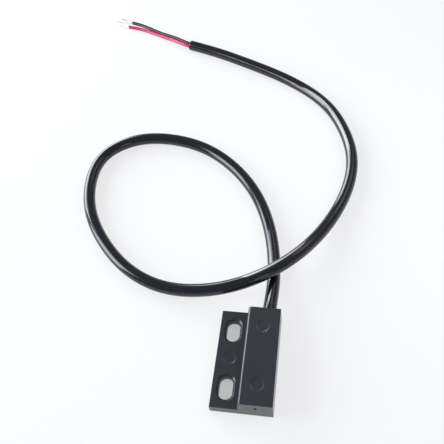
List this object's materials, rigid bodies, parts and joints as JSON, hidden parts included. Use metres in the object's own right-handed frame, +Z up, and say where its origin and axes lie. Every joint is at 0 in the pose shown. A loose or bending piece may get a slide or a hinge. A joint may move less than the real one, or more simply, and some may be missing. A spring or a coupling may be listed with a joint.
{
  "type": "flange-mount reed sensor",
  "caption": "Flat black moulded reed sensor with a slotted fixing flange and a round cable that loops to bare-ended red and black wires; a magnet near it closes the sealed contact.",
  "frame": {"origin": "middle of the flat underside of the case", "axes": "+X from the fixing flange to the block, +Y along the case towards the cable, +Z up, away from the surface that the case is fixed to"},
  "size_m": [0.0848, 0.1363, 0.0068],
  "materials": {
    "housing": "satin moulded black plastic",
    "potting": "cast black resin",
    "glass": "clear, faintly green glass",
    "reed": "tinned nickel-iron wire",
    "contact": "plated nickel-iron strip",
    "solder": "bright solder",
    "jacket": "glossy black soft plastic",
    "red_insulation": "satin red soft plastic",
    "black_insulation": "satin black soft plastic",
    "tinned_strands": "twisted tinned copper strands"
  },
  "bodies": {
    "sensor": {"housing": "housing", "potting": "potting", "glass_tube": "glass", "near_lead": "reed", "far_lead": "reed", "near_solder": "solder", "far_solder": "solder", "cable_jacket": "jacket", "red_wire": "red_insulation", "black_wire": "black_insulation", "red_conductor": "tinned_strands", "black_conductor": "tinned_strands"},
    "near_reed": {"near_blade": "contact"},
    "far_reed": {"far_blade": "contact"}
  },
  "joints": [
    {"name": "near_blade_flex", "type": "hinge", "parent": "sensor", "child": "near_reed", "pos_m": [0.0018, -0.0059, 0.00276], "axis": [-1, 0, 0], "range_deg": [0, 0.9], "stiffness_Nm_per_rad": 0.00005},
    {"name": "far_blade_flex", "type": "hinge", "parent": "sensor", "child": "far_reed", "pos_m": [0.0018, -0.0003, 0.00244], "axis": [-1, 0, 0], "range_deg": [0, 0.9], "stiffness_Nm_per_rad": 0.00005}
  ],
  "couplings": [
    {"joint": "far_blade_flex", "follows": "near_blade_flex", "ratio": 1}
  ]
}
